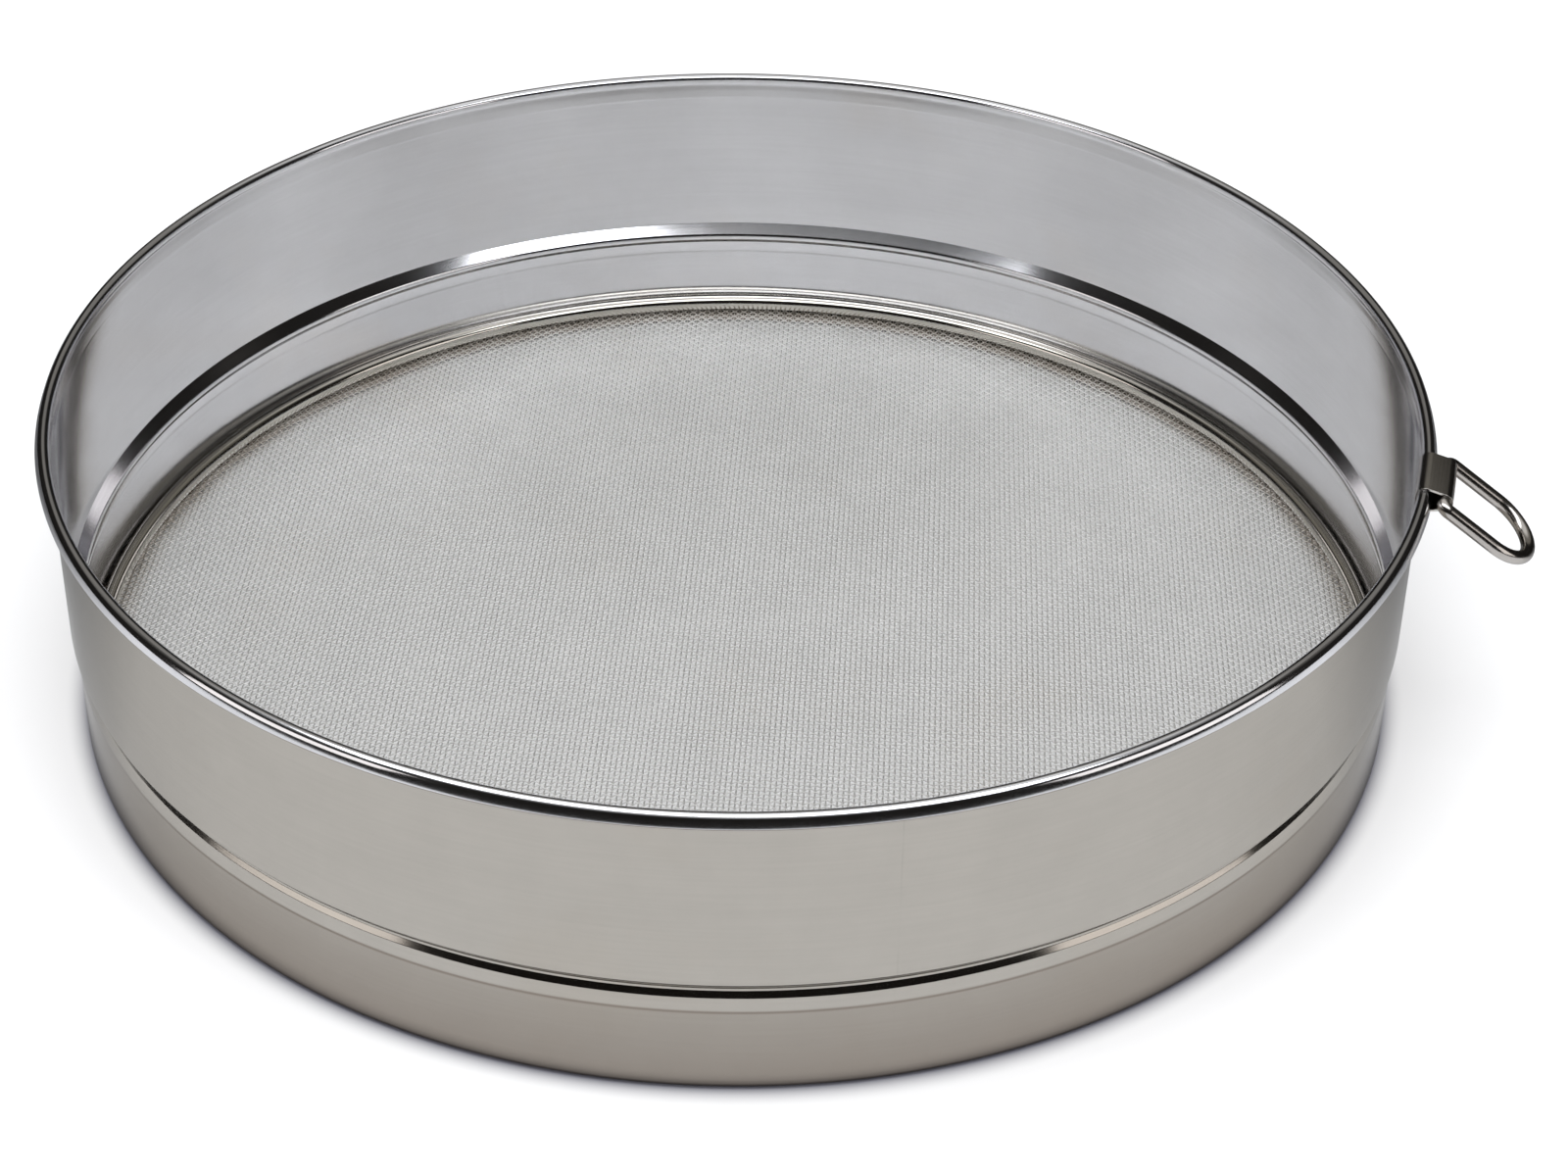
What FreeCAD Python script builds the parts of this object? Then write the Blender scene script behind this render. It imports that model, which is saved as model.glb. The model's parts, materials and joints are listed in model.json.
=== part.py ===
"""Stainless steel soil sieve: a rolled sheet hoop, a woven wire screen held by a split ring,
and a wire hanging loop hinged in a folded clip on the rim.

Millimetres, +Z up. The origin is on the hoop's axis, in the plane that the sieve stands on, and
the hanging loop is on the +X side.
"""

import FreeCAD
import Part
import Sketcher
import math
import os

V = FreeCAD.Vector

# Driving dimensions. Radii are measured from the hoop's axis unless the name says otherwise.
SIZES = {
    # sheet metal hoop
    "height": 70.0,
    "sheet": 0.5,
    "wall_outer_radius": 147.3,
    "groove_outer_radius": 144.9,
    "skirt_outer_radius": 146.3,
    "groove_height": 24.7,
    "groove_bend": 1.25,
    "curl_outer": 1.6,
    "rim_curl_end": 232.0,
    "base_curl_end": 48.0,
    # core wire of the rolled rim
    "core_gap": 0.05,
    # woven screen and its ring
    "mesh_wire": 0.4,
    "mesh_edge_gap": 0.2,
    "ring_tube": 2.0,
    "ring_sheet": 0.4,
    "ring_fit": 0.05,
    "ring_split": 0.15,
    "ring_split_azimuth": 161.5,
    # hanging loop
    "loop_wire": 1.5,
    "loop_width": 17.7,
    "loop_straight": 14.0,
    "loop_corner": 1.65,
    "loop_droop": 34.8,
    "loop_end_gap": 0.1,
    "pivot_out": 3.6,
    "pivot_drop": 0.75,
    # folded clip
    "clip_sheet": 0.5,
    "clip_width": 14.4,
    "clip_rim_gap": 0.1,
    "clip_rim_shift": 0.09,
    "clip_wire_gap": 0.06,
    "clip_hook": 1.2,
    "clip_return_slope": 12.0,
    "clip_bend": 0.75,
    "clip_wall_gap": 0.03,
    "clip_foot": 1.2,
}


def size(name):
    return f"Sizes.{name}"


def make_sheet(doc):
    """The spreadsheet of driving dimensions, one named cell each."""
    sheet = doc.addObject("Spreadsheet::Sheet", "Sizes")
    for row, (name, value) in enumerate(SIZES.items(), start=1):
        sheet.set(f"A{row}", name)
        sheet.set(f"B{row}", str(value))
        sheet.setAlias(f"B{row}", name)
    doc.recompute()
    return sheet


def origin_plane(body, role):
    return next(f for f in body.Origin.OriginFeatures if f.Role == role)


def new_body(doc, name):
    body = doc.addObject("PartDesign::Body", name)
    body.Label = name
    return body


def new_sketch(body, name, role):
    sketch = body.newObject("Sketcher::SketchObject", name)
    sketch.AttachmentSupport = [(origin_plane(body, role), "")]
    sketch.MapMode = "FlatFace"
    return sketch


def value_of(sketch, text):
    """The number that an expression gives with the sheet's present values."""
    value = sketch.evalExpression(text)
    return float(getattr(value, "Value", value))


def point_of(sketch, corner):
    return V(value_of(sketch, corner[0]), value_of(sketch, corner[1]), 0)


def bind(sketch, kind, place, text, name):
    """Adds a dimension to the sketch and ties it to an expression."""
    number = value_of(sketch, text)
    index = sketch.addConstraint(Sketcher.Constraint(kind, *place, number))
    sketch.renameConstraint(index, name)
    sketch.setExpression(f"Constraints.{name}", text)


def add_arc(sketch, start, end, radius, turn, long_way):
    """An arc from start to end. turn is 1 counter-clockwise, -1 clockwise. Returns its index and
    which of its ends (1 or 2) is the start."""
    chord = end - start
    half = chord.Length / 2
    rise = max(radius**2 - half**2, 0) ** 0.5
    left = V(-chord.y, chord.x, 0).normalize()
    side = turn * (-1 if long_way else 1)
    centre = (start + end) / 2 + left * rise * side
    first, last = (start, end) if turn > 0 else (end, start)
    circle = Part.Circle(centre, V(0, 0, 1), radius)
    begin = circle.parameter(first)
    finish = circle.parameter(last)
    if finish < begin:
        finish += 2 * math.pi
    arc = Part.ArcOfCircle(circle, begin, finish)
    return sketch.addGeometry(arc, False), (1 if turn > 0 else 2)


def draw(sketch, corners, spans, closed):
    """Draws a chain of lines and arcs. corners are pairs of expressions. spans holds one entry
    for each stretch between corners: None for a line, or (radius, turn, long_way) for an arc."""
    points = [point_of(sketch, corner) for corner in corners]
    ends = []
    for k, span in enumerate(spans):
        start = points[k]
        end = points[(k + 1) % len(points)]
        if span is None:
            index = sketch.addGeometry(Part.LineSegment(start, end), False)
            ends.append((index, 1, 2))
            continue
        radius, turn, long_way = span
        index, first = add_arc(sketch, start, end, value_of(sketch, radius), turn, long_way)
        ends.append((index, first, 3 - first))
    for k, (index, first, _) in enumerate(ends):
        if k or closed:
            before, _, joint = ends[k - 1]
            sketch.addConstraint(Sketcher.Constraint("Coincident", before, joint, index, first))
        bind(sketch, "DistanceX", (-1, 1, index, first), corners[k][0], f"x{k}")
        bind(sketch, "DistanceY", (-1, 1, index, first), corners[k][1], f"y{k}")
    if not closed:
        index, _, last = ends[-1]
        k = len(corners) - 1
        bind(sketch, "DistanceX", (-1, 1, index, last), corners[k][0], f"x{k}")
        bind(sketch, "DistanceY", (-1, 1, index, last), corners[k][1], f"y{k}")
    for k, span in enumerate(spans):
        if span is not None:
            bind(sketch, "Radius", (ends[k][0],), span[0], f"r{k}")


def strip_outline(stations, spans, thickness):
    """The closed outline of a bent strip of sheet from its middle line. A station is (x, y,
    angle of its left-hand side). Returns corners and spans for draw()."""
    half = f"{thickness} / 2"
    left = [(f"({x}) + {half} * cos({a})", f"({y}) + {half} * sin({a})") for x, y, a in stations]
    right = [(f"({x}) - {half} * cos({a})", f"({y}) - {half} * sin({a})") for x, y, a in stations]
    there = []
    back = []
    for span in spans:
        if span is None:
            there.append(None)
            back.append(None)
            continue
        radius, turn, long_way = span
        # a left turn has its centre on the left, so the left side is the inside of the bend
        nearer = f"{radius} - {half}"
        further = f"{radius} + {half}"
        there.append((nearer if turn > 0 else further, turn, long_way))
        back.append((further if turn > 0 else nearer, -turn, long_way))
    return left + right[::-1], there + [None] + back[::-1] + [None]


def rim_centre():
    """Expressions for the middle of the rim's curl: its radius and its height."""
    radius = f"({size('wall_outer_radius')} - {size('sheet')} + {size('curl_outer')})"
    return radius, f"({size('height')} - {size('curl_outer')})"


def pivot():
    """Expressions for the hanging loop's hinge line, which runs along Y: its x and its z."""
    radius, height = rim_centre()
    return f"({radius} + {size('pivot_out')})", f"({height} - {size('pivot_drop')})"


def make_hoop(doc):
    """One strip of sheet rolled round: curled out over the rim's wire, straight wall, rolled-in
    groove, slightly smaller skirt, and curled in at the base."""
    body = new_body(doc, "hoop")
    sketch = new_sketch(body, "hoop_section", "XZ_Plane")
    half = f"{size('sheet')} / 2"
    curl = f"({size('curl_outer')} - {half})"
    bend = size("groove_bend")
    wall = f"({size('wall_outer_radius')} - {half})"
    groove = f"({size('groove_outer_radius')} - {half})"
    skirt = f"({size('skirt_outer_radius')} - {half})"
    rim_x, rim_z = rim_centre()
    base_x = f"({skirt} - {curl})"
    base_z = size("curl_outer")
    rim_end = size("rim_curl_end")
    base_end = size("base_curl_end")
    # the angles that the groove's upper and lower flanks turn through
    above = f"acos(1 - ({wall} - {groove}) / (2 * {bend}))"
    below = f"acos(1 - ({skirt} - {groove}) / (2 * {bend}))"
    z = size("groove_height")
    stations = [
        (f"{rim_x} + {curl} * cos({rim_end})", f"{rim_z} + {curl} * sin({rim_end})", f"{rim_end} + 180"),
        (wall, rim_z, "0"),
        (wall, f"{z} + 2 * {bend} * sin({above})", "0"),
        (f"{wall} - {bend} * (1 - cos({above}))", f"{z} + {bend} * sin({above})", f"-{above}"),
        (f"{groove} + {bend} * (1 - cos({below}))", f"{z} - {bend} * sin({below})", below),
        (skirt, f"{z} - 2 * {bend} * sin({below})", "0"),
        (skirt, base_z, "0"),
        (f"{base_x} + {curl} * cos({base_end})", f"{base_z} + {curl} * sin({base_end})", base_end),
    ]
    spans = [
        (curl, 1, True),
        None,
        (bend, -1, False),
        (bend, 1, False),
        (bend, -1, False),
        None,
        (curl, -1, True),
    ]
    draw(sketch, *strip_outline(stations, spans, size("sheet")), closed=True)
    turned = body.newObject("PartDesign::Revolution", "hoop_roll")
    turned.Profile = sketch
    turned.ReferenceAxis = (sketch, ["V_Axis"])
    turned.Angle = 360
    return body


def make_rim_wire(doc):
    """The core wire that the rim is curled over."""
    wire = doc.addObject("Part::Torus", "rim_wire")
    wire.Label = "rim_wire"
    radius, height = rim_centre()
    wire.setExpression("Radius1", radius)
    wire.setExpression("Radius2", f"{size('curl_outer')} - {size('sheet')} - {size('core_gap')}")
    wire.setExpression("Placement.Base.z", height)
    return wire


def make_screen_layer(doc, name, layer):
    """One set of the screen's parallel wires, as a plain disc one wire thick: layer 0 lies on the
    base curl, layer 1 on layer 0."""
    disc = doc.addObject("Part::Cylinder", name)
    disc.Label = name
    skirt_inside = f"{size('skirt_outer_radius')} - {size('sheet')}"
    disc.setExpression("Radius", f"{skirt_inside} - {size('mesh_edge_gap')}")
    disc.setExpression("Height", size("mesh_wire"))
    disc.setExpression("Placement.Base.z", f"2 * {size('curl_outer')} + {layer} * {size('mesh_wire')}")
    return disc


def make_screen_ring(doc):
    """The split ring of rolled tube that holds the screen down on the base curl."""
    inside = f"({size('skirt_outer_radius')} - {size('sheet')} - {size('ring_fit')})"
    radius = f"({inside} - {size('ring_tube')})"
    height = f"2 * ({size('curl_outer')} + {size('mesh_wire')}) + {size('ring_tube')}"
    tubes = []
    for name, wall in (("ring_outside", "0"), ("ring_bore", size("ring_sheet"))):
        tube = doc.addObject("Part::Torus", name)
        tube.setExpression("Radius1", radius)
        tube.setExpression("Radius2", f"{size('ring_tube')} - {wall}")
        tubes.append(tube)
    outside, bore = tubes
    outside.setExpression("Angle3", f"360 - {size('ring_split')} / {radius} * 180 / pi")
    ring = doc.addObject("Part::Cut", "screen_ring")
    ring.Label = "screen_ring"
    ring.Base = outside
    ring.Tool = bore
    ring.setExpression("Placement.Base.z", height)
    ring.Placement.Rotation = FreeCAD.Rotation(V(0, 0, 1), SIZES["ring_split_azimuth"])
    ring.setExpression("Placement.Rotation.Angle", size("ring_split_azimuth"))
    return ring


def make_clip(doc):
    """A strip of sheet hooked over the rim, folded round the loop's wire and brought back to the
    wall under the rim."""
    body = new_body(doc, "hanger_clip")
    sketch = new_sketch(body, "clip_section", "XZ_Plane")
    half = f"{size('clip_sheet')} / 2"
    bend = size("clip_bend")
    slope = size("clip_return_slope")
    rim_x, rim_z = rim_centre()
    over_x = f"({rim_x} - {size('clip_rim_shift')})"
    over = f"({size('curl_outer')} + {size('clip_rim_gap')} + {half})"
    wire_x, wire_z = pivot()
    knuckle = f"({size('loop_wire')} + {size('clip_wire_gap')} + {half})"
    # the strip leaves the rim and meets the knuckle along the line that touches both arcs
    across = f"({size('pivot_out')} + {size('clip_rim_shift')})"
    apart = f"sqrt({across}^2 + {size('pivot_drop')}^2)"
    leave = f"(acos(({over} - {knuckle}) / {apart}) - atan({size('pivot_drop')} / {across}))"
    foot_x = f"({size('wall_outer_radius')} + {size('clip_wall_gap')} + {half})"
    under_x = f"({wire_x} + {knuckle} * sin({slope}))"
    under_z = f"({wire_z} - {knuckle} * cos({slope}))"
    turn_x = f"({foot_x} + {bend} * (1 - sin({slope})))"
    turn_z = f"({under_z} - ({under_x} - {turn_x}) * tan({slope}))"
    foot_z = f"({turn_z} - {bend} * cos({slope}))"
    stations = [
        (f"{over_x} - {over}", f"{rim_z} - {size('clip_hook')}", "180"),
        (f"{over_x} - {over}", rim_z, "180"),
        (f"{over_x} + {over} * cos({leave})", f"{rim_z} + {over} * sin({leave})", leave),
        (f"{wire_x} + {knuckle} * cos({leave})", f"{wire_z} + {knuckle} * sin({leave})", leave),
        (under_x, under_z, f"{slope} - 90"),
        (turn_x, turn_z, f"{slope} - 90"),
        (foot_x, foot_z, "0"),
        (foot_x, f"{foot_z} - {size('clip_foot')}", "0"),
    ]
    spans = [
        None,
        (over, -1, False),
        None,
        (knuckle, -1, False),
        None,
        (bend, 1, False),
        None,
    ]
    draw(sketch, *strip_outline(stations, spans, size("clip_sheet")), closed=True)
    pad = body.newObject("PartDesign::Pad", "clip_strip")
    pad.Profile = sketch
    pad.SideType = "Symmetric"
    pad.setExpression("Length", size("clip_width"))
    return body


def make_loop(doc):
    """The hanging loop: one wire bent to a bar, two legs and a round end, with its ends meeting
    in the middle of the bar. The body's own X axis runs from the bar to the round end."""
    body = new_body(doc, "hanging_loop")
    path = new_sketch(body, "loop_path", "XY_Plane")
    side = f"({size('loop_width')} / 2)"
    corner = size("loop_corner")
    straight = size("loop_straight")
    gap = f"{size('loop_end_gap')} / 2"
    corners = [
        ("0", f"-{gap}"),
        ("0", f"{corner} - {side}"),
        (corner, f"-{side}"),
        (straight, f"-{side}"),
        (f"{straight} + {side}", "0"),
        (straight, side),
        (corner, side),
        ("0", f"{side} - {corner}"),
        ("0", gap),
    ]
    spans = [
        None,
        (corner, 1, False),
        None,
        (side, 1, False),
        (side, 1, False),
        None,
        (corner, 1, False),
        None,
    ]
    draw(path, corners, spans, closed=False)
    section = new_sketch(body, "loop_section", "XZ_Plane")
    section.setExpression("AttachmentOffset.Base.z", gap)
    circle = section.addGeometry(Part.Circle(V(0, 0, 0), V(0, 0, 1), SIZES["loop_wire"]), False)
    section.addConstraint(Sketcher.Constraint("Coincident", circle, 3, -1, 1))
    bind(section, "Radius", (circle,), size("loop_wire"), "wire_radius")
    pipe = body.newObject("PartDesign::AdditivePipe", "loop_wire")
    pipe.Profile = section
    pipe.Spine = (path, [f"Edge{k + 1}" for k in range(len(spans))])
    x, z = pivot()
    body.Placement.Rotation = FreeCAD.Rotation(V(0, 1, 0), SIZES["loop_droop"])
    body.setExpression("Placement.Base.x", x)
    body.setExpression("Placement.Base.z", z)
    body.setExpression("Placement.Rotation.Angle", size("loop_droop"))
    return body


def check(doc, pieces):
    """Stops the build if any object failed or any piece isn't one valid solid."""
    for item in doc.Objects:
        if {"Invalid", "Error"} & set(item.State):
            raise RuntimeError(f"{item.Name} did not recompute: {item.State}")
    for piece in pieces:
        shape = piece.Shape
        if shape.isNull() or not shape.isValid() or len(shape.Solids) != 1:
            raise RuntimeError(f"{piece.Label} is not one valid solid")


def main():
    doc = FreeCAD.newDocument("soil_sieve")
    make_sheet(doc)
    pieces = [
        make_hoop(doc),
        make_rim_wire(doc),
        make_screen_layer(doc, "screen_warp_wires", 0),
        make_screen_layer(doc, "screen_weft_wires", 1),
        make_screen_ring(doc),
        make_clip(doc),
        make_loop(doc),
    ]
    doc.recompute()
    check(doc, pieces)
    os.makedirs("parts", exist_ok=True)
    for piece in pieces:
        piece.Shape.exportStep(f"parts/{piece.Label}.step")
        print(f"{piece.Label}: {piece.Shape.Volume:.1f} mm3")


main()
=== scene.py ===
import json
import math
import random

import bmesh
import bpy
import numpy as np
from mathutils import Matrix, Vector


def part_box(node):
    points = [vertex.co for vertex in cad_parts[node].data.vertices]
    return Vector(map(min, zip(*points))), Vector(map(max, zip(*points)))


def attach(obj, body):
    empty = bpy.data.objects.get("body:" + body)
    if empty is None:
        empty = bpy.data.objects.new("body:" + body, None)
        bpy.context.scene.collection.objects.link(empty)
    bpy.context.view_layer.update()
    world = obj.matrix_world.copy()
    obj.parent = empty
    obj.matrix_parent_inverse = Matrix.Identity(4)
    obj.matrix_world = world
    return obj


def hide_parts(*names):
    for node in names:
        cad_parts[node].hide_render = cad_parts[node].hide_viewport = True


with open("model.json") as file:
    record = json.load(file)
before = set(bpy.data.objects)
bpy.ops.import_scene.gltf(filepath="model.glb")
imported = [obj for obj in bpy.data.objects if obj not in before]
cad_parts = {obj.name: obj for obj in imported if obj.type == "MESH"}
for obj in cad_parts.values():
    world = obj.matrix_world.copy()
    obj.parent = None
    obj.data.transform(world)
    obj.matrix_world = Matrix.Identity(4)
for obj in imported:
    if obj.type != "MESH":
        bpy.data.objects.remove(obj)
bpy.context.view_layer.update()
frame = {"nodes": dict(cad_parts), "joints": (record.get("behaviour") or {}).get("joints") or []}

# Looks for the packed soil sieve: lathed mirror-bright hoop and ring, a woven screen of single
# wires, a bevelled clip and loop, and a small photographic studio. Metres, in the CAD frame.

MM = 0.001
hoop_low, hoop_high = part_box("hoop")
ring_low, ring_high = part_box("screen_ring")
warp_low, warp_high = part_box("screen_warp_wires")
clip_low, clip_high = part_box("hanger_clip")
hinge = frame["joints"][0]

# The sheet and its bends. The groove and the edge below it differ a little from the CAD's
SHEET = 0.5 * MM
CURL = 1.6 * MM
RIM_R = hoop_high.x - CURL
RIM_Z = hoop_high.z - CURL
WALL_R = RIM_R - CURL + SHEET / 2
GROOVE_R = WALL_R - 2.2 * MM
SKIRT_R = WALL_R - 1.0 * MM
GROOVE_TOP = hoop_low.z + 27.9 * MM
LEDGE_Z = hoop_low.z + 20.3 * MM
LIP_STEPS = 11                       # of the rim section's points, those under the lip
# the heights over which the painted shadow under the rim's lip sets in
LIP_SHADOW = (RIM_Z - 3.1 * MM, RIM_Z - 2.7 * MM)
SEAM_AZIMUTH = math.radians(-64.5)
RING_SPLIT = math.radians(161.5)
LOOP_WIRE_R = 1.5 * MM

# The woven screen
WIRE_R = (warp_high.z - warp_low.z) / 2
CLOTH_Z = warp_high.z
PITCH = 1.2 * MM
CLOTH_ANGLE = math.radians(10.1)
CLOTH_R = warp_high.x - 0.1 * MM

# The side that the camera is on, as an azimuth about +Z
CAMERA_SIDE = math.radians(-77.5)

rng = random.Random(7)


# ---------------------------------------------------------------- geometry helpers

def arc(cx, cz, radius, start, stop, count):
    """Points along an arc in the section plane. Angles in degrees."""
    angles = np.radians(np.linspace(start, stop, count))
    return np.stack([cx + radius * np.cos(angles), cz + radius * np.sin(angles)], axis=1)


def line(start, stop, count):
    """Points along a line, closer together near its ends."""
    t = (1 - np.cos(np.linspace(0, math.pi, count))) / 2
    return np.outer(1 - t, start) + np.outer(t, stop)


def chain(*runs):
    """Joins runs of points, dropping a point that repeats the one before it."""
    points = [runs[0][0]]
    for run in runs:
        for p in run:
            if np.linalg.norm(p - points[-1]) > 1e-6:
                points.append(p)
    return np.array(points)


def strip(middle, thickness):
    """The two faces of a bent strip of sheet, from its middle line: left face, right face."""
    along = np.gradient(middle, axis=0)
    along /= np.linalg.norm(along, axis=1)[:, None]
    left = np.stack([-along[:, 1], along[:, 0]], axis=1)
    return middle + left * thickness / 2, middle - left * thickness / 2


def new_object(name, verts, faces, materials, face_material=None):
    """A smooth-shaded mesh object. face_material gives each face the number of its material."""
    mesh = bpy.data.meshes.new(name)
    mesh.from_pydata([tuple(v) for v in verts], [], faces)
    for material in materials:
        mesh.materials.append(material)
    mesh.polygons.foreach_set("use_smooth", [True] * len(mesh.polygons))
    if face_material is not None:
        mesh.polygons.foreach_set("material_index", face_material)
    mesh.update()
    piece = bpy.data.objects.new(name, mesh)
    bpy.context.scene.collection.objects.link(piece)
    return piece


def face_outwards(piece):
    """Turns every face of a closed piece to face out of it."""
    work = bmesh.new()
    work.from_mesh(piece.data)
    bmesh.ops.recalc_face_normals(work, faces=work.faces)
    work.to_mesh(piece.data)
    work.free()


def settle(piece, body, slot, *nodes):
    """Puts a finished piece on its body in place of its CAD nodes."""
    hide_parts(*nodes)
    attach(piece, body)


def tube(centres, sides_x, sides_y, radius, count):
    """Rings of count points round each centre. sides_x and sides_y span each ring's plane."""
    turn = np.arange(count) * 2 * math.pi / count
    ring = (np.cos(turn)[None, :, None] * sides_x[:, None, :]
            + np.sin(turn)[None, :, None] * sides_y[:, None, :])
    return centres[:, None, :] + radius * ring


def skin(rings, count):
    """Quads between successive rings, numbered ring by ring, with both ends closed."""
    faces = []
    for i in range(rings - 1):
        a, b = i * count, (i + 1) * count
        for j in range(count):
            k = (j + 1) % count
            faces.append((a + j, a + k, b + k, b + j))
    faces.append(tuple(range(count - 1, -1, -1)))
    faces.append(tuple(range((rings - 1) * count, rings * count)))
    return faces


# ---------------------------------------------------------------- materials

def node(tree, kind, **inputs):
    """Adds a shader node, with its inputs' values by name. An underscore stands for a space."""
    made = tree.nodes.new(kind)
    for name, value in inputs.items():
        made.inputs[name.replace("_", " ")].default_value = value
    return made


def math_node(tree, operation, a, b=None):
    """The result of a sum in the shader. a and b are sockets or numbers."""
    made = tree.nodes.new("ShaderNodeMath")
    made.operation = operation
    for socket, value in zip(made.inputs, (a, b)):
        if isinstance(value, bpy.types.NodeSocket):
            tree.links.new(value, socket)
        elif value is not None:
            socket.default_value = value
    return made.outputs[0]


def scaled(tree, value, low, high, to_low, to_high):
    """Maps low..high to to_low..to_high, and holds the ends beyond that."""
    made = node(tree, "ShaderNodeMapRange", From_Min=low, From_Max=high,
                To_Min=to_low, To_Max=to_high)
    tree.links.new(value, made.inputs["Value"])
    return made.outputs["Result"]


def noise(tree, vector, scale, detail=3.0, rough=0.55):
    """Cloudy noise, mostly between 0.3 and 0.7."""
    made = node(tree, "ShaderNodeTexNoise", Scale=scale, Detail=detail, Roughness=rough)
    tree.links.new(vector, made.inputs["Vector"])
    return made.outputs["Fac"]


def mixed(tree, factor, a, b):
    """A mix of two colours: a where factor is 0, b where it is 1."""
    made = tree.nodes.new("ShaderNodeMix")
    made.data_type = "RGBA"
    for socket, value in ((made.inputs[0], factor), (made.inputs[6], a), (made.inputs[7], b)):
        if isinstance(value, bpy.types.NodeSocket):
            tree.links.new(value, socket)
        else:
            socket.default_value = value
    return made.outputs[2]


def rgba(color, gain=1.0):
    return tuple(c * gain for c in color) + (1.0,)


def round_coordinates(tree, along, across):
    """Object coordinates, then the azimuth, radius and height round the hoop's axis, and those
    three again stretched, for polishing lines that run round the hoop."""
    place = tree.nodes.new("ShaderNodeTexCoord")
    split = tree.nodes.new("ShaderNodeSeparateXYZ")
    tree.links.new(place.outputs["Object"], split.inputs[0])
    x, y, z = split.outputs
    azimuth = math_node(tree, "ARCTAN2", y, x)
    radius = math_node(tree, "SQRT", math_node(tree, "ADD", math_node(tree, "MULTIPLY", x, x),
                                               math_node(tree, "MULTIPLY", y, y)))
    joined = tree.nodes.new("ShaderNodeCombineXYZ")
    for socket, value, gain in zip(joined.inputs, (azimuth, radius, z), (along, across, across)):
        tree.links.new(math_node(tree, "MULTIPLY", value, gain), socket)
    return place.outputs["Object"], azimuth, radius, z, joined.outputs[0]


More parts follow.
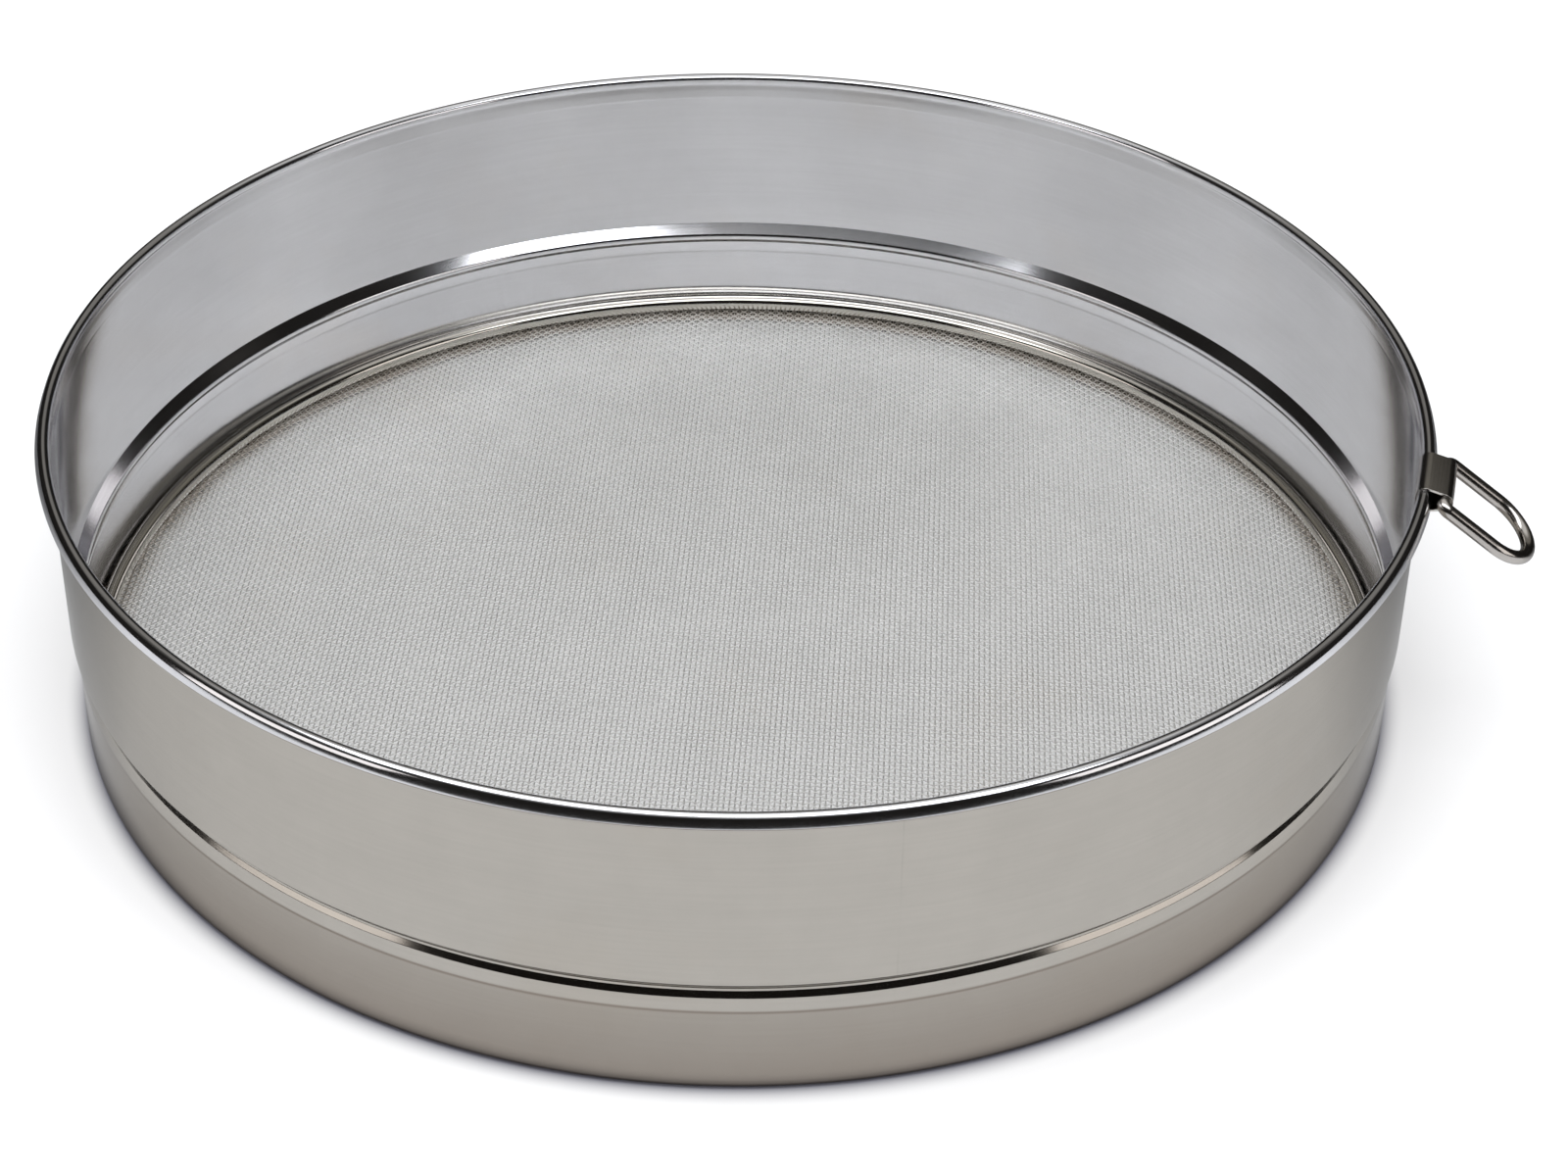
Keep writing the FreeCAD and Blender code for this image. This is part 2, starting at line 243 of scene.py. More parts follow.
def steel(name, color, roughness, smudge=0.06, lines=(5.0, 1400.0), bump=0.012, seam=0.0,
          pits=0.0, shade=0.0, edge_shade=0.0, dull_skirt=0.0, edge=1.0):
    """Bright steel with faint polishing lines, cloudy handling marks and a few small pits. seam
    is how far the hoop's ground weld shows, shade how strongly painted shade browns the skirt,
    most at the sieve's foot (any shade also paints a dark line at the ledge and a shadow under
    the rim's lip), edge_shade how strongly painted shade darkens it near the screen's edge,
    dull_skirt how much rougher the skirt is, and edge how bright the steel is edge on."""
    material = bpy.data.materials.new(name)
    material.use_nodes = True
    tree = material.node_tree
    shader = tree.nodes["Principled BSDF"]
    shader.inputs["Metallic"].default_value = 1.0
    shader.inputs["Specular Tint"].default_value = (edge, edge, edge, 1.0)
    place, azimuth, radius, height_up, stretched = round_coordinates(tree, *lines)
    cloud = noise(tree, place, 22.0, 4.0, 0.6)
    mark = noise(tree, place, 75.0, 6.0, 0.65)
    grain = noise(tree, stretched, 1.0, 5.0, 0.6)
    dirt = scaled(tree, math_node(tree, "ADD", cloud, mark), 0.75, 1.25, 0.0, 1.0)
    tone = mixed(tree, dirt, rgba(color, 1.0 + smudge), rgba(color, 1.0 - smudge))
    warm = scaled(tree, cloud, 0.55, 0.72, 0.0, 0.35)
    tone = mixed(tree, warm, tone, rgba((color[0] * 1.01, color[1] * 0.97, color[2] * 0.92)))
    line_tone = scaled(tree, grain, 0.35, 0.65, 0.0, 0.12)
    tone = mixed(tree, line_tone, tone, rgba(color, 0.72))
    # painted shade: browner down the skirt towards the foot, a painted dark line at the ledge and a
    # painted shadow under the rim's lip
    if shade:
        shade_towards_foot = scaled(tree, height_up, 0.0, 22 * MM, 1.0, 0.45)
        shade_below_ledge = scaled(tree, height_up, LEDGE_Z - 0.5 * MM, LEDGE_Z + 0.1 * MM, shade, 0.0)
        off_ledge = math_node(tree, "ABSOLUTE",
                              math_node(tree, "SUBTRACT", height_up, LEDGE_Z - 0.3 * MM))
        shade_line_at_ledge = scaled(tree, off_ledge, 0.1 * MM, 0.55 * MM, 0.5, 0.0)
        shadow_under_lip = scaled(tree, height_up, *LIP_SHADOW, 0.0, 0.9)
        fade = math_node(tree, "ADD", math_node(tree, "MULTIPLY", shade_towards_foot, shade_below_ledge),
                         math_node(tree, "ADD", shade_line_at_ledge, shadow_under_lip))
        brown = (color[0] * 0.40, color[1] * 0.34, color[2] * 0.30)
        tone = mixed(tree, fade, tone, rgba(brown))
    # painted shade on the screen near its edge, beside the ring, patchy with the handling marks
    if edge_shade:
        near = scaled(tree, radius, CLOTH_R - 9 * MM, CLOTH_R - 4.5 * MM, 0.0, edge_shade)
        near = math_node(tree, "MULTIPLY", near, scaled(tree, mark, 0.35, 0.6, 0.6, 1.0))
        tone = mixed(tree, near, tone, rgba((color[0] * 0.45, color[1] * 0.39, color[2] * 0.32)))
    height = grain
    if pits:
        cells = node(tree, "ShaderNodeTexVoronoi", Scale=pits)
        tree.links.new(place, cells.inputs["Vector"])
        spot = scaled(tree, cells.outputs["Distance"], 0.02, 0.04, 1.0, 0.0)
        rare = math_node(tree, "GREATER_THAN", noise(tree, place, pits * 0.31, 1.0), 0.62)
        below_rim = scaled(tree, height_up, *LIP_SHADOW, 1.0, 0.0)
        spot = math_node(tree, "MULTIPLY", math_node(tree, "MULTIPLY", spot, rare), below_rim)
        tone = mixed(tree, math_node(tree, "MULTIPLY", spot, 0.25), tone, rgba(color, 0.4))
        height = math_node(tree, "SUBTRACT", height, spot)
    if seam:
        away = math_node(tree, "ABSOLUTE", math_node(tree, "SUBTRACT", azimuth, SEAM_AZIMUTH))
        patchy = scaled(tree, noise(tree, place, 60.0, 2.0), 0.45, 0.6, 0.15, 1.0)
        joint = math_node(tree, "MULTIPLY", scaled(tree, away, 0.0004, 0.0013, seam, 0.0), patchy)
        tone = mixed(tree, joint, tone, rgba(color, 0.55))
        height = math_node(tree, "SUBTRACT", height, joint)
    tree.links.new(tone, shader.inputs["Base Color"])
    rough = math_node(tree, "ADD", math_node(tree, "MULTIPLY", mark, 0.6),
                      math_node(tree, "MULTIPLY", grain, 0.4))
    rough = scaled(tree, rough, 0.3, 0.7, *roughness)
    if dull_skirt:
        low = scaled(tree, height_up, LEDGE_Z - 1.5 * MM, LEDGE_Z, dull_skirt, 0.0)
        rough = math_node(tree, "ADD", rough, low)
    tree.links.new(rough, shader.inputs["Roughness"])
    relief = node(tree, "ShaderNodeBump", Strength=1.0, Distance=bump * MM)
    tree.links.new(height, relief.inputs["Height"])
    tree.links.new(relief.outputs["Normal"], shader.inputs["Normal"])
    return material


# The hoop's sheet is one steel on both faces: the outside is coloured darker and warmer and the
# inside paler and cooler, painted shade and painted light standing in for how each face is lit
outside_steel = steel("steel_outside", (0.50, 0.475, 0.435), (0.09, 0.16), smudge=0.03, bump=0.008,
                      seam=0.22, pits=70.0, shade=0.68, edge=0.6)
inside_steel = steel("steel_inside", (0.79, 0.795, 0.825), (0.09, 0.13), smudge=0.025, bump=0.002,
                     seam=0.12, pits=110.0, dull_skirt=0.05)
ring_steel = steel("steel_ring", (0.62, 0.60, 0.55), (0.07, 0.13), lines=(9.0, 900.0), bump=0.006)
cloth_steel = steel("steel_cloth", (0.75, 0.745, 0.73), (0.28, 0.42), smudge=0.05, bump=0.004,
                    edge_shade=0.7)
clip_steel = steel("steel_clip", (0.60, 0.58, 0.55), (0.10, 0.20), smudge=0.08, bump=0.02)
loop_steel = steel("steel_loop", (0.54, 0.515, 0.49), (0.13, 0.22), bump=0.01)
core_steel = steel("steel_core", (0.52, 0.51, 0.49), (0.25, 0.4))


# ---------------------------------------------------------------- hoop

def hoop_ripple(azimuth, z):
    """The slight unevenness of thin rolled sheet: a radial offset that dies out at the rim."""
    largest, steepest, smooth_below_rim, blend = 0.11 * MM, 28, 4.5 * MM, 9 * MM
    total = np.zeros(np.broadcast(azimuth, z).shape)
    waves = random.Random(3)
    for _ in range(12):
        around = waves.randint(2, 17)
        up = waves.uniform(-steepest, steepest)
        size = waves.uniform(0.25, 1.0) * largest / around**0.9
        total += size * np.sin(around * azimuth + up * z + waves.uniform(0, 2 * math.pi))
    fade = np.clip((hoop_high.z - smooth_below_rim - z) / blend, 0, 1)
    return total * fade * fade * (3 - 2 * fade)


def rim_section():
    """The rim's curl, from its free end under the lip, round the core wire, to the wall inside.
    Its outer face is a little flattened. Relative to the core wire's centre."""
    edge, crown, inner, top = 0.04 * MM, 0.75 * MM, 1.05 * MM, CURL - SHEET / 2
    flank, lean, brow = 1.75 * MM, 20.0, 65.0
    crown_x = inner - top
    brow_x = crown_x + (crown - flank) * math.cos(math.radians(brow))
    brow_z = top - crown + (crown - flank) * math.sin(math.radians(brow))
    lean_x, lean_z = math.sin(math.radians(lean)), math.cos(math.radians(lean))
    drop, inner_end_x, inner_end_drop = 1.18 * MM, -0.75 * MM, 0.30 * MM
    edge_x = brow_x + (flank - edge) * lean_z + drop * lean_x
    edge_z = brow_z + (flank - edge) * lean_x - drop * lean_z
    points = chain(
        line(np.array([inner_end_x, edge_z - inner_end_drop]),
             np.array([edge_x, edge_z - edge]), 5),
        arc(edge_x, edge_z, edge, -85, lean, 7),
        arc(brow_x, brow_z, flank, lean, brow, 14),
        arc(crown_x, top - crown, crown, brow, 90, 6),
        arc(crown_x, top - inner, inner, 90, 180, 12),
    )
    return points + np.array([RIM_R, RIM_Z])


def groove_section():
    """The stacking groove: in under the wall, round its bottom, and out over a shoulder that
    leans to a slight edge above the skirt."""
    corner, bottom, shoulder = 0.45 * MM, 1.1 * MM, 0.8 * MM
    upper, lower, lean = 40.5, 32.0, 7.0
    out = 0.86 * MM

    def sine(angle):
        return math.sin(math.radians(angle))

    def cosine(angle):
        return math.cos(math.radians(angle))

    across = WALL_R - GROOVE_R - (corner + bottom) * (1 - cosine(upper))
    level = GROOVE_TOP - (corner + bottom) * sine(upper) - across * cosine(upper) / sine(upper)
    flank = out - bottom * (1 - cosine(lower)) - shoulder * (cosine(lean) - cosine(lower))
    shoulder_x = GROOVE_R + out - shoulder * cosine(lean)
    shoulder_z = level - (bottom + shoulder) * sine(lower) - flank * cosine(lower) / sine(lower)
    return chain(
        arc(WALL_R - corner, GROOVE_TOP, corner, 0, -upper, 8),
        arc(GROOVE_R + bottom, level, bottom, 180 - upper, 180 + lower, 20),
        arc(shoulder_x, shoulder_z, shoulder, lower, lean, 8),
        np.array([[SKIRT_R + 0.06 * MM, LEDGE_Z], [SKIRT_R + 0.05 * MM, LEDGE_Z - 0.15 * MM],
                  [SKIRT_R - 0.01 * MM, LEDGE_Z - 0.45 * MM], [SKIRT_R, LEDGE_Z - 0.7 * MM]]),
    )


def make_hoop():
    """The rolled sheet: rim curl with a slight bead inside, wall, groove, skirt and base curl."""
    curl = CURL - SHEET / 2
    tuck, bend = 26.0, 0.6 * MM
    crease_half, crease_depth = 0.2 * MM, 0.02 * MM
    base_turn = 312
    bead_x = RIM_R + curl * math.cos(math.radians(180 + tuck))
    bead_z = RIM_Z - curl * math.sin(math.radians(tuck))
    set_back = bead_x + bend * (1 - math.cos(math.radians(tuck)))
    hidden = RIM_Z - 2.6 * MM
    crease = RIM_Z - 4.2 * MM
    back = np.radians(np.linspace(tuck, 0, 5))
    back_bend = np.stack([set_back - bend * (1 - np.cos(back)),
                          bead_z - bend * (math.sin(math.radians(tuck)) - np.sin(back))], axis=1)
    groove = groove_section()
    middle = chain(
        rim_section(),
        arc(RIM_R, RIM_Z, curl, 180, 180 + tuck, 6),
        back_bend,
        line(np.array([set_back, bead_z - bend * math.sin(math.radians(tuck))]),
             np.array([WALL_R, hidden]), 4),
        np.array([[WALL_R, crease + crease_half], [WALL_R - crease_depth, crease],
                  [WALL_R, crease - crease_half]]),
        line(np.array([WALL_R, crease - crease_half]),
             np.array([WALL_R, GROOVE_TOP + 0.2 * MM]), 15),
        groove,
        line(groove[-1], np.array([SKIRT_R, CURL]), 8),
        arc(SKIRT_R - curl, CURL, curl, 0, -base_turn, 16),
    )
    left, right = strip(middle, SHEET)
    # the bead shows inside only: the wall's outer face is straight right up under the lip
    straight = (left[:, 1] < bead_z) & (left[:, 0] < bead_x + SHEET)
    left[straight, 0] = np.minimum(left[straight, 0], WALL_R + SHEET / 2)
    outline = np.concatenate([left, right[::-1]])
    count = len(outline)
    steps = 480
    azimuth = np.arange(steps) * 2 * math.pi / steps
    radius = outline[None, :, 0] + hoop_ripple(azimuth[:, None], outline[None, :, 1])
    verts = np.stack([radius * np.cos(azimuth)[:, None], radius * np.sin(azimuth)[:, None],
                      np.broadcast_to(outline[None, :, 1], radius.shape)], axis=2)
    faces, face_material = [], []
    for i in range(steps):
        a, b = i * count, (i + 1) % steps * count
        for j in range(count):
            k = (j + 1) % count
            faces.append((a + j, a + k, b + k, b + j))
            # the lip's underside takes the outside steel and with it the painted shadow under the lip
            outer = j < len(left) - 1 or j >= count - LIP_STEPS
            face_material.append(0 if outer else 1)
    piece = new_object("hoop_sheet", verts.reshape(-1, 3), faces, [outside_steel, inside_steel],
                       face_material)
    face_outwards(piece)
    settle(piece, "sieve", "polished_steel", "hoop")
    return piece


# ---------------------------------------------------------------- screen ring

def make_ring():
    """The split ring, with one end sprung very slightly inwards at the joint."""
    radius = (ring_high.z - ring_low.z) / 2
    mean = ring_high.x - radius
    height = ring_low.z + radius
    steps, sides = 602, 28
    slack, spring = 0.12 * MM, 0.12 * MM
    gap = 0.03 * MM / mean
    start, stop = RING_SPLIT + gap, RING_SPLIT + 2 * math.pi - gap
    # a second ring of points close to each end keeps the end's edge crisp
    nearly = 0.02 * MM / mean
    azimuth = np.concatenate([[start], np.linspace(start + nearly, stop - nearly, steps - 2), [stop]])
    after = np.clip(1 - (azimuth - azimuth[0]) / math.radians(9), 0, 1)
    wander = 0.06 * MM * np.sin(5 * azimuth + 1.1) + 0.05 * MM * np.sin(9 * azimuth)
    mid = mean - slack + wander - spring * after * after
    outward = np.stack([np.cos(azimuth), np.sin(azimuth), np.zeros(steps)], axis=1)
    up = np.tile([0.0, 0.0, 1.0], (steps, 1))
    verts = tube(outward * mid[:, None] + up * height, outward, up, radius, sides)
    piece = new_object("screen_ring_tube", verts.reshape(-1, 3), skin(steps, sides), [ring_steel])
    face_outwards(piece)
    settle(piece, "sieve", "ring_steel", "screen_ring")


# ---------------------------------------------------------------- woven screen

def cloth_drift(x, y):
    """How far the weave is pulled out of true in its plane, and how it undulates."""
    drift = random.Random(11)
    dx, dy, dz = np.zeros_like(x), np.zeros_like(x), np.zeros_like(x)
    for total, size in ((dx, 0.16), (dy, 0.16), (dz, 0.035)):
        for _ in range(5):
            angle = drift.uniform(0, 2 * math.pi)
            length = drift.uniform(35, 110) * MM
            phase = drift.uniform(0, 2 * math.pi)
            wave = (x * math.cos(angle) + y * math.sin(angle)) * 2 * math.pi / length
            total += size * MM * drift.uniform(0.3, 1.0) * np.sin(wave + phase) / 2
    return dx, dy, dz


def make_cloth(name, slot, node_name, along_x, groups):
    """The wires of one direction, in several pieces. Each wire rises over one crossing wire and
    dips under the next."""
    reach = int((CLOTH_R - WIRE_R) / PITCH)
    indices = np.arange(-reach, reach + 1)
    cos_a, sin_a = math.cos(CLOTH_ANGLE), math.sin(CLOTH_ANGLE)
    tilt = math.radians(16.0)
    rise, unevenness, held_edge = 0.19 * MM, 0.02 * MM, 6 * MM
    sign = 1 if along_x else -1
    for group, members in enumerate(np.array_split(indices, groups), start=1):
        verts, faces = [], []
        base = 0
        for i in members:
            half = math.sqrt((CLOTH_R - WIRE_R) ** 2 - (i * PITCH) ** 2)
            crossings = np.arange(-int(half / PITCH), int(half / PITCH) + 1)
            t = np.sort(np.concatenate([crossings - 0.25, crossings + 0.25])) * PITCH
            over = sign * np.where((np.repeat(crossings, 2) + i) % 2 == 0, 1.0, -1.0)
            lift = over * rise
            # which way each ring leans: into the rise before a high point, back after it
            lean = np.tile([1.0, -1.0], len(crossings)) * over * tilt
            count = len(t)
            across = np.full(count, i * PITCH) + rng.uniform(-unevenness, unevenness)
            along_dir = np.array([1.0, 0.0, 0.0]) if along_x else np.array([0.0, 1.0, 0.0])
            side_dir = np.array([0.0, 1.0, 0.0]) if along_x else np.array([1.0, 0.0, 0.0])
            centres = (t[:, None] * along_dir + across[:, None] * side_dir
                       + np.array([0.0, 0.0, 1.0]) * lift[:, None])
            side = np.tile(side_dir, (count, 1))
            top = (-np.sin(lean)[:, None] * along_dir
                   + np.cos(lean)[:, None] * np.array([0.0, 0.0, 1.0]))
            ring = tube(centres, side, top, WIRE_R, 4).reshape(-1, 3)
            verts.append(ring)
            faces.extend(tuple(base + v for v in face) for face in skin(count, 4))
            base += len(ring)
        points = np.concatenate(verts)
        x = points[:, 0] * cos_a - points[:, 1] * sin_a
        y = points[:, 0] * sin_a + points[:, 1] * cos_a
        dx, dy, dz = cloth_drift(x, y)
        edge = np.clip((CLOTH_R - np.hypot(x, y)) / held_edge, 0, 1)
        points = np.stack([x + dx * edge, y + dy * edge,
                           points[:, 2] + CLOTH_Z + dz * edge], axis=1)
        piece = new_object(f"{name}_{group}", points, faces, [cloth_steel])
        settle(piece, "sieve", slot, node_name)


# ---------------------------------------------------------------- clip and loop

def bevel(piece, width, segments):
    """Rounds a piece's sharp edges."""
    made = piece.modifiers.new("edges", "BEVEL")
    made.width = width
    made.segments = segments
    made.limit_method = "ANGLE"
    made.angle_limit = math.radians(50)
    made.harden_normals = True


def make_clip():
    """The folded strip: hooked over the rim, round the loop's wire and back to the wall."""
    pivot_x, _, pivot_z = hinge["pos_m"]
    half = SHEET / 2
    rim_shift, rim_gap, wire_gap, wall_gap = 0.09 * MM, 0.1 * MM, 0.06 * MM, 0.03 * MM
    hook, foot = 1.2 * MM, 1.2 * MM
    over_x = RIM_R - rim_shift
    over = CURL + rim_gap + half
    knuckle = LOOP_WIRE_R + wire_gap + half
    across, drop = pivot_x - over_x, RIM_Z - pivot_z
    apart = math.hypot(across, drop)
    leave = math.degrees(math.acos((over - knuckle) / apart) - math.atan2(drop, across))
    slope, bend = 12.0, 0.75 * MM
    foot_x = WALL_R + SHEET / 2 + wall_gap + half
    under = (pivot_x + knuckle * math.sin(math.radians(slope)),
             pivot_z - knuckle * math.cos(math.radians(slope)))
    turn_x = foot_x + bend * (1 - math.sin(math.radians(slope)))
    turn_z = under[1] - (under[0] - turn_x) * math.tan(math.radians(slope))
    foot_z = turn_z - bend * math.cos(math.radians(slope))
    middle = chain(
        line(np.array([over_x - over, RIM_Z - hook]), np.array([over_x - over, RIM_Z]), 4),
        arc(over_x, RIM_Z, over, 180, leave, 22),
        arc(pivot_x, pivot_z, knuckle, leave, slope - 90, 26),
        line(np.array(under), np.array([turn_x, turn_z]), 4),
        arc(foot_x + bend, foot_z, bend, slope + 90, 180, 7),
        line(np.array([foot_x, foot_z]), np.array([foot_x, foot_z - foot]), 3),
    )
    left, right = strip(middle, SHEET)
    outline = np.concatenate([left, right[::-1]])
    count = len(outline)
    rows, bow = 17, 0.35
    verts = []
    for y in np.linspace(clip_low.y, clip_high.y, rows):
        # the strip bows a part of the way that the rim's curve does
        drop_back = RIM_R - math.sqrt(RIM_R**2 - y**2)
        verts.append(np.stack([outline[:, 0] - bow * drop_back, np.full(count, y),
                               outline[:, 1]], axis=1))
    piece = new_object("clip_strip", np.concatenate(verts), skin(rows, count), [clip_steel])
    face_outwards(piece)
    bevel(piece, 0.09 * MM, 3)
    settle(piece, "sieve", "clip_steel", "hanger_clip")


def make_loop():
    """The hanging loop: a round wire bent to a bar, two legs and a round end."""
    pivot = np.array(hinge["pos_m"])
    side, corner, straight = 8.85 * MM, 1.65 * MM, 14.0 * MM
    droop = math.radians(34.8)
    gap = 0.05 * MM
    path = chain(
        line(np.array([0, -gap]), np.array([0, corner - side]), 8),
        arc(corner, corner - side, corner, 180, 270, 12),
        line(np.array([corner, -side]), np.array([straight, -side]), 16),
        arc(straight, 0, side, -90, 90, 56),
        line(np.array([straight, side]), np.array([corner, side]), 16),
        arc(corner, side - corner, corner, 90, 180, 12),
        line(np.array([0, side - corner]), np.array([0, gap]), 8),
    )
    along = np.gradient(path, axis=0)
    along /= np.linalg.norm(along, axis=1)[:, None]
    out = np.array([math.cos(droop), 0, -math.sin(droop)])
    flat = np.array([0.0, 1.0, 0.0])
    normal = np.cross(out, flat)
    centres = pivot + path[:, :1] * out + path[:, 1:] * flat
    sideways = -along[:, 1:] * out + along[:, :1] * flat
    sides = 32
    rings = tube(centres, sideways, np.tile(normal, (len(path), 1)), LOOP_WIRE_R, sides)
    piece = new_object("hanging_loop_wire", rings.reshape(-1, 3), skin(len(path), sides),
                       [loop_steel])
    face_outwards(piece)
    settle(piece, "loop", "loop_steel", "hanging_loop")


make_hoop()
make_ring()
make_cloth("screen_warp", "cloth_warp", "screen_warp_wires", False, 4)
make_cloth("screen_weft", "cloth_weft", "screen_weft_wires", True, 4)
make_clip()
make_loop()
core = frame["nodes"]["rim_wire"]
core.data.materials.clear()
core.data.materials.append(core_steel)


# ---------------------------------------------------------------- studio

def about(azimuth_deg, distance, height):
    """A place round the sieve. Azimuth 0 is the camera's side, and positive is to its right."""
    angle = CAMERA_SIDE + math.radians(azimuth_deg)
    return Vector((distance * math.cos(angle), distance * math.sin(angle), height))


def floor_paper(name, color, roughness, painted_shadow_color, behind=1.0):
    """Plain paper with a painted contact shadow of painted_shadow_color right at the sieve's foot.
    behind is how bright the paper is painted behind the sieve, as a share of its brightness in
    front: painted shade."""
    material = bpy.data.materials.new(name)
    material.use_nodes = True
    tree = material.node_tree
    shader = tree.nodes["Principled BSDF"]
    shader.inputs["Roughness"].default_value = roughness
    place, _, radius, _, _ = round_coordinates(tree, 1.0, 1.0)
    # a painted contact shadow: the paper darkens to the shadow colour in a narrow ring at the sieve's
    # foot, fading out 5 mm outside it and 2 to 3.5 mm inside it
    foot = SKIRT_R + SHEET / 2
    outside = scaled(tree, radius, foot - 0.3 * MM, foot + 5.0 * MM, 1.0, 0.0)
    inside = scaled(tree, radius, foot - 3.5 * MM, foot - 2 * MM, 0.0, 1.0)
    shadow = math_node(tree, "MULTIPLY", math_node(tree, "POWER", outside, 2.0), inside)
    # painted shade: behind the sieve, beyond its foot, the paper's colour is scaled down to the
    # behind share
    towards = tree.nodes.new("ShaderNodeVectorMath")
    towards.operation = "DOT_PRODUCT"
    towards.inputs[1].default_value = about(0, 1, 0)
    tree.links.new(place, towards.inputs[0])
    back = scaled(tree, towards.outputs["Value"], -80 * MM, 60 * MM, 1.0, 0.0)
    around = scaled(tree, radius, foot - 0.3 * MM, foot, 0.0, 1.0)
    painted_shade_behind = math_node(tree, "MULTIPLY", back, around)
    paper = mixed(tree, painted_shade_behind, rgba(color), rgba(color, behind))
    paper = mixed(tree, shadow, paper, rgba(painted_shadow_color))
    tree.links.new(paper, shader.inputs["Base Color"])
    return material


def mirror_only(piece):
    """Makes a piece of the studio show in mirror reflections only."""
    for ray in ("camera", "diffuse", "transmission", "volume_scatter", "shadow"):
        setattr(piece, f"visible_{ray}", False)


def disc(name, radius, height, material):
    """A flat round piece of the studio, centred on the sieve."""
    sides = 96
    turn = np.arange(sides) * 2 * math.pi / sides
    verts = np.stack([radius * np.cos(turn), radius * np.sin(turn), np.full(sides, height)],
                     axis=1)
    made = new_object(name, verts, [tuple(range(sides))], [material])
    return made


def panel(name, place, aim, width, height, brightness, color):
    """A softbox: a flat light that doesn't show to the camera itself."""
    lamp = bpy.data.lights.new(name, "AREA")
    lamp.shape = "RECTANGLE"
    lamp.size, lamp.size_y = width, height
    lamp.energy = brightness * math.pi * width * height
    lamp.color = color
    made = bpy.data.objects.new(name, lamp)
    made.location = place
    made.rotation_mode = "QUATERNION"
    made.rotation_quaternion = (Vector(aim) - place).to_track_quat("-Z", "Y")
    made.visible_camera = False
    bpy.context.scene.collection.objects.link(made)


def between(value, low, high):
    """0 below low, 1 above high, smooth from one to the other."""
    t = min(1.0, max(0.0, (value - low) / (high - low)))
    return t * t * (3 - 2 * t)


def room_color(azimuth, elevation):
    """What the steel mirrors past the table: a dark studio, a dim grey-brown wall behind, and
    the light's soft spill overhead."""
    behind = between(abs(azimuth), 95, 135)
    wall = between(elevation, 25, 33) * (1 - between(elevation, 62, 80))
    spill = 0.75 * between(elevation, 42, 70)
    glow = 0.19 * behind * wall
    return 0.012 + glow + spill, 0.011 + glow * 0.95 + spill, 0.010 + glow * 0.86 + spill


def make_room():
    """A dome that only mirror reflections see."""
    verts, faces, colors = [], [], []
    across, up = 72, 60
    lowest, highest, distance = -30, 90, 6.0
    for j in range(up + 1):
        elevation = lowest + (highest - lowest) * j / up
        for i in range(across):
            azimuth = -180 + 360 * i / across
            high = math.radians(elevation)
            spot = about(azimuth, distance * math.cos(high), distance * math.sin(high))
            verts.append(tuple(spot))
            colors.append(room_color(azimuth, elevation) + (1.0,))
    for j in range(up):
        for i in range(across):
            k = (i + 1) % across
            faces.append((j * across + i, j * across + k, (j + 1) * across + k,
                          (j + 1) * across + i))
    material = bpy.data.materials.new("studio_room")
    material.use_nodes = True
    material.cycles.emission_sampling = "NONE"
    tree = material.node_tree
    tree.nodes.clear()
    shade = tree.nodes.new("ShaderNodeAttribute")
    shade.attribute_name = "shade"
    glow = tree.nodes.new("ShaderNodeEmission")
    end = tree.nodes.new("ShaderNodeOutputMaterial")
    tree.links.new(shade.outputs["Color"], glow.inputs["Color"])
    tree.links.new(glow.outputs[0], end.inputs["Surface"])
    dome = new_object("studio_dome", verts, faces, [material])
    layer = dome.data.attributes.new("shade", "FLOAT_COLOR", "POINT")
    layer.data.foreach_set("color", np.array(colors).ravel())
    mirror_only(dome)


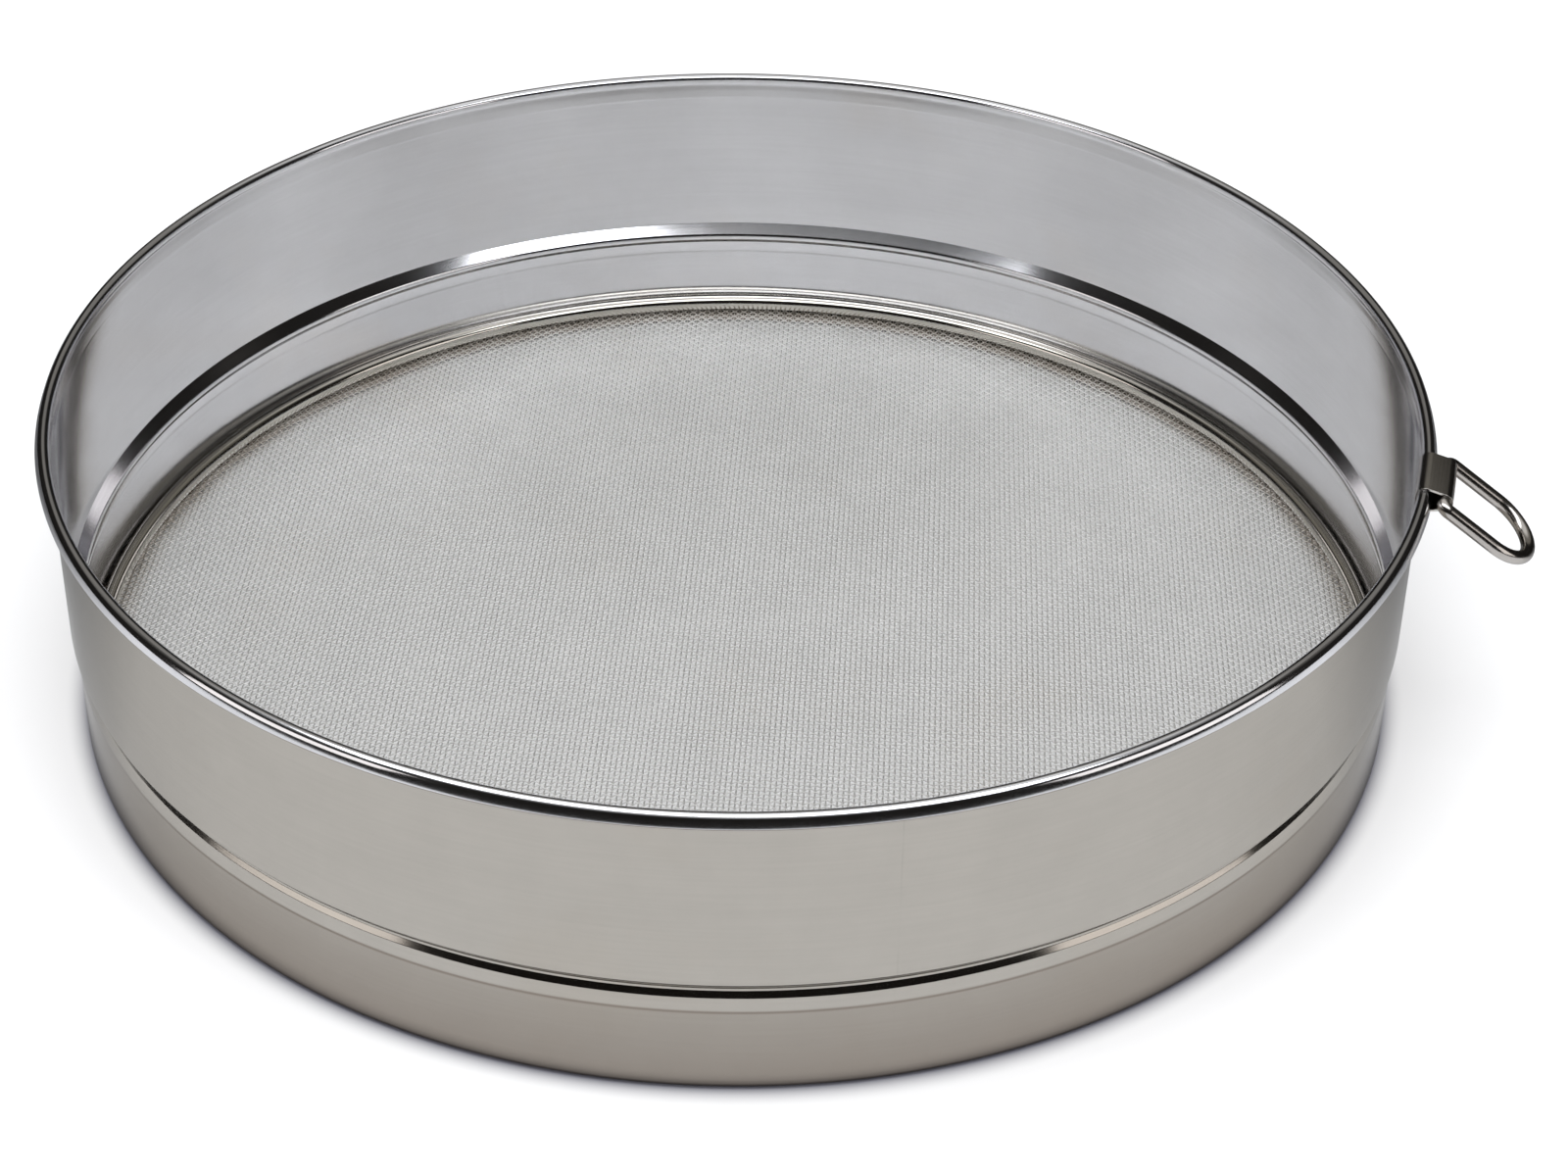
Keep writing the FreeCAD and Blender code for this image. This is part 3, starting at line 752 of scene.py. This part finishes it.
def make_studio():
    """The pale surroundings, the paper, the table that the steel mirrors, and the lights."""
    world = bpy.data.worlds.new("studio")
    bpy.context.scene.world = world
    world.use_nodes = True
    background = world.node_tree.nodes["Background"]
    background.inputs["Color"].default_value = (0.98, 0.985, 1.0, 1.0)
    background.inputs["Strength"].default_value = 1.06
    world.cycles_visibility.glossy = False
    make_room()
    # the painted contact shadows at the foot: darker on the paper, lighter on the table that the
    # steel mirrors
    white, foot_shadow, mirrored_painted_shadow = (0.93, 0.93, 0.93), (0.20, 0.20, 0.235), (0.42, 0.41, 0.40)
    floor = disc("studio_floor", 8.0, 0.0, floor_paper("studio_paper", white, 0.9, foot_shadow))
    floor.visible_glossy = False
    # mirror reflections see a table of ordinary size, with the dark room beyond its edge, and the
    # table painted darker behind the sieve as painted shade
    table_paper = floor_paper("studio_table", white, 0.9, mirrored_painted_shadow, behind=0.14)
    table = disc("studio_table", 0.62, -0.02 * MM, table_paper)
    mirror_only(table)
    middle = Vector((0, 0, 0.05))
    panel("overhead", about(0, 0.28, 0.85), about(0, 0.28, 0), 1.3, 0.40, 3.0, (0.97, 0.98, 1.0))
    for side in (-1, 1):
        panel(f"softbox_{side}", about(64 * side, 0.95, 0.32), middle, 0.60, 0.45, 1.2,
              (1.0, 0.95, 0.92))


def make_camera():
    """A long lens about 0.7 m away, looking down on the sieve at 35 degrees."""
    view = Matrix.Rotation(CAMERA_SIDE + math.pi / 2, 3, "Z")
    pitch, roll = math.radians(35.22), math.radians(0.95)
    right = Vector((1, 0, 0))
    up = Vector((0, math.sin(pitch), math.cos(pitch)))
    ahead = Vector((0, math.cos(pitch), -math.sin(pitch)))
    rolled_right = math.cos(roll) * right + math.sin(roll) * up
    rolled_up = -math.sin(roll) * right + math.cos(roll) * up
    axes = Matrix((view @ rolled_right, view @ rolled_up, view @ -ahead)).transposed()
    data = bpy.data.cameras.new("camera")
    data.lens, data.sensor_width = 75.1, 36.0
    data.clip_start, data.clip_end = 0.01, 50.0
    made = bpy.data.objects.new("camera", data)
    # to the right, ahead and up from the middle of the rim
    place = view @ Vector((0.0106, -0.6048, 0.3737)) + Vector((0, 0, RIM_Z))
    made.matrix_world = Matrix.Translation(place) @ axes.to_4x4()
    bpy.context.scene.collection.objects.link(made)
    bpy.context.scene.camera = made


make_studio()
make_camera()
scene = bpy.context.scene
scene.view_settings.view_transform = "Standard"
scene.cycles.max_bounces = 10
scene.cycles.glossy_bounces = 8
scene.cycles.sample_clamp_indirect = 6.0
